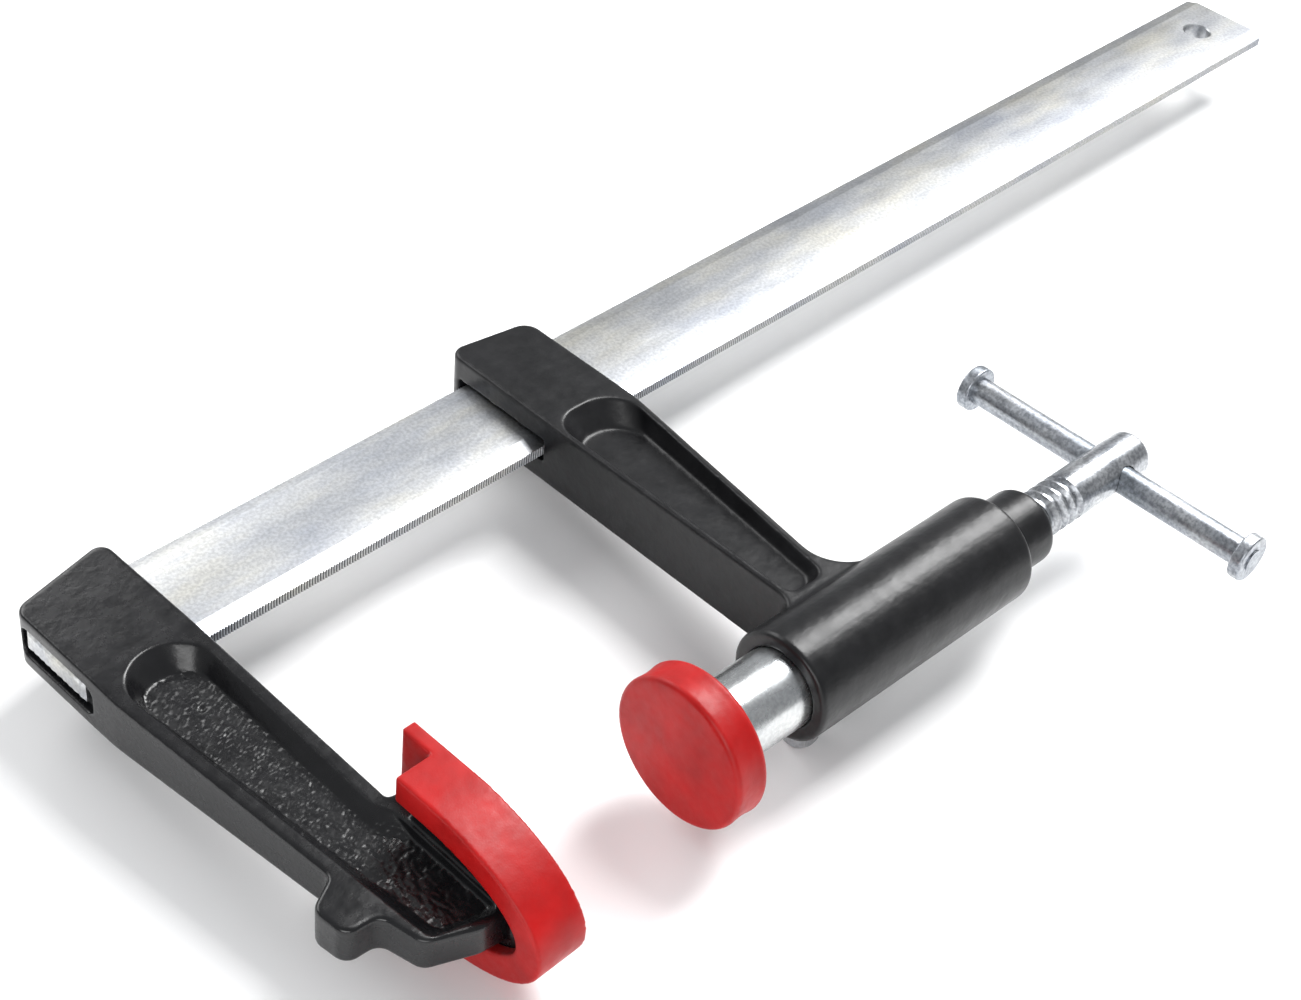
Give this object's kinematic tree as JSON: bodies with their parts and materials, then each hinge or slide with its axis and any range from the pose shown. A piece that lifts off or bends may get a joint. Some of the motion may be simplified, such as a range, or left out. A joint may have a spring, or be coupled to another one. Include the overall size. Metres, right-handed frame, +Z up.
{
  "type": "f clamp",
  "caption": "F clamp: a flat serrated bar with a fixed cast jaw, a sliding cast arm and a screw with a tommy bar that pushes a non-turning plunger and its round pad.",
  "frame": {"origin": "centre of the fixed clamping face, on the spindle axis", "axes": "+X along the bar from the fixed jaw to the free end, +Y from the spindle to the bar, +Z up with the clamp lying flat"},
  "size_m": [0.5919, 0.226, 0.0528],
  "materials": {
    "bar_zinc": "satin",
    "jaw_paint": "gloss",
    "red_plastic": "matte",
    "arm_paint": "satin",
    "screw_zinc": "satin",
    "plunger_zinc": "satin",
    "plain_steel": "satin",
    "spindle_zinc": "satin",
    "tommy_zinc": "satin"
  },
  "bodies": {
    "bar_and_fixed_jaw": {"bar": "bar_zinc", "fixed_jaw": "jaw_paint", "fixed_jaw_pad": "red_plastic"},
    "arm": {"sliding_arm": "arm_paint", "guide_screw": "screw_zinc"},
    "plunger_group": {"plunger": "plunger_zinc", "pressure_plate": "plain_steel", "plunger_pad": "red_plastic", "retaining_pins": "plain_steel", "thrust_ball": "plain_steel"},
    "spindle_body": {"spindle": "spindle_zinc"},
    "tommy_group": {"tommy_bar": "tommy_zinc", "tommy_bar_cap_bar_side": "tommy_zinc", "tommy_bar_cap_outer": "tommy_zinc"}
  },
  "joints": [
    {"name": "arm_slide", "type": "slide", "parent": "bar_and_fixed_jaw", "child": "arm", "axis": [1, 0, 0], "range_m": [-0.036, 0.36]},
    {"name": "plunger_feed", "type": "slide", "parent": "arm", "child": "plunger_group", "axis": [0.9994, -0.034, 0], "range_m": [-0.02, 0.026]},
    {"name": "spindle_turn", "type": "hinge", "parent": "plunger_group", "child": "spindle_body", "pos_m": [0.17565, -0.00136, 0.00441], "axis": [0.9994, -0.034, 0], "range_deg": [-1795, 2335]},
    {"name": "tommy_bar_slide", "type": "slide", "parent": "spindle_body", "child": "tommy_group", "axis": [0.034, 0.9989, -0.0318], "range_m": [-0.043, 0.043]}
  ],
  "couplings": [
    {"joint": "plunger_feed", "follows": "spindle_turn", "m_per_rad": 0.00063662}
  ]
}
